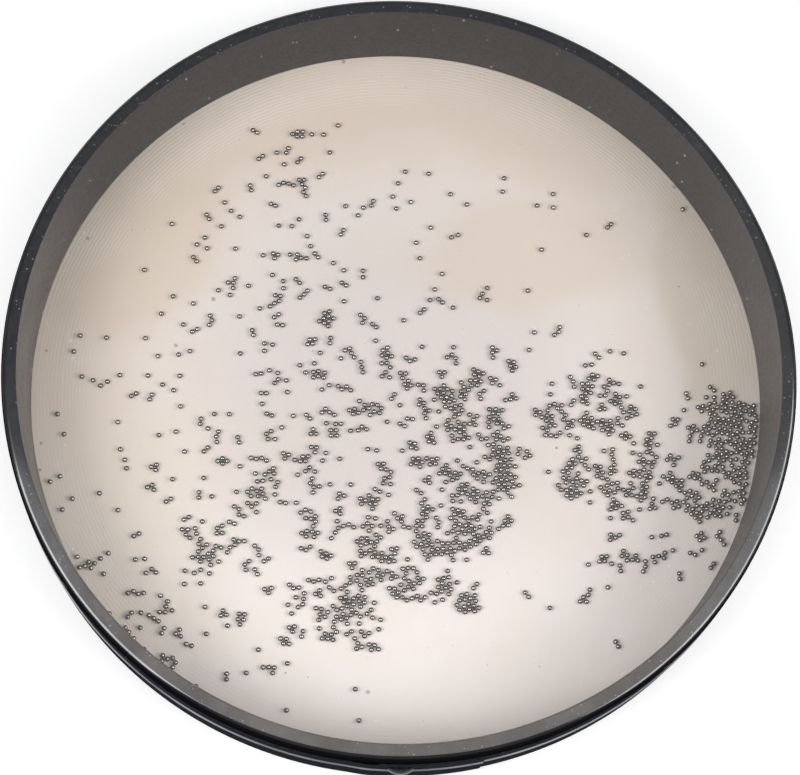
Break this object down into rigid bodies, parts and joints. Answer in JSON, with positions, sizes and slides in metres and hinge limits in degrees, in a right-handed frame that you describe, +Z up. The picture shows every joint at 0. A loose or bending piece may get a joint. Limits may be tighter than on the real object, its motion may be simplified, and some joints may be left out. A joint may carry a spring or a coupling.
{
  "type": "ocean drum",
  "caption": "Shallow round ocean drum: a black shell between a clear upper film and a cream lower film, with loose steel beads that roll between them and sound like surf.",
  "frame": {"origin": "on the drum's axis, at the underside of the lower film that it rests on", "axes": "+Z up along the drum's axis towards the clear film, -Y towards the band's lap and its rivet"},
  "size_m": [0.4096, 0.4128, 0.0533],
  "materials": {
    "shell_black": "matte black coating over a wood-fibre hoop",
    "clear_film": "clear glossy film",
    "cream_film": "satin cream film",
    "band_black": "satin black strip",
    "rivet_black": "black enamel",
    "bead_steel": "dull polished shot"
  },
  "bodies": {
    "drum": {"shell": "shell_black", "top_head": "clear_film", "bottom_head": "cream_film", "side_band": "band_black", "lap_rivet": "rivet_black"},
    "bead_ring_1": {"ring_1_beads_far_left": "bead_steel", "ring_1_beads_far_right": "bead_steel", "ring_1_beads_near_left": "bead_steel", "ring_1_beads_near_right": "bead_steel"},
    "bead_ring_2": {"ring_2_beads_far_left": "bead_steel", "ring_2_beads_far_right": "bead_steel", "ring_2_beads_near_left": "bead_steel", "ring_2_beads_near_right": "bead_steel"},
    "bead_ring_3": {"ring_3_beads_far_left": "bead_steel", "ring_3_beads_far_right": "bead_steel", "ring_3_beads_near_left": "bead_steel", "ring_3_beads_near_right": "bead_steel"},
    "bead_ring_4": {"ring_4_beads_far_left": "bead_steel", "ring_4_beads_far_right": "bead_steel", "ring_4_beads_near_left": "bead_steel", "ring_4_beads_near_right": "bead_steel"}
  },
  "joints": [
    {"name": "bead_hop", "type": "slide", "parent": "drum", "child": "bead_ring_1", "axis": [0, 0, 1], "range_m": [0, 0.0499]},
    {"name": "ring_2_swirl", "type": "hinge", "parent": "bead_ring_1", "child": "bead_ring_2", "pos_m": [0, 0, 0.00165], "axis": [0, 0, 1], "continuous": true},
    {"name": "ring_3_swirl", "type": "hinge", "parent": "bead_ring_1", "child": "bead_ring_3", "pos_m": [0, 0, 0.00165], "axis": [0, 0, 1], "continuous": true},
    {"name": "ring_4_swirl", "type": "hinge", "parent": "bead_ring_1", "child": "bead_ring_4", "pos_m": [0, 0, 0.00165], "axis": [0, 0, 1], "continuous": true}
  ]
}
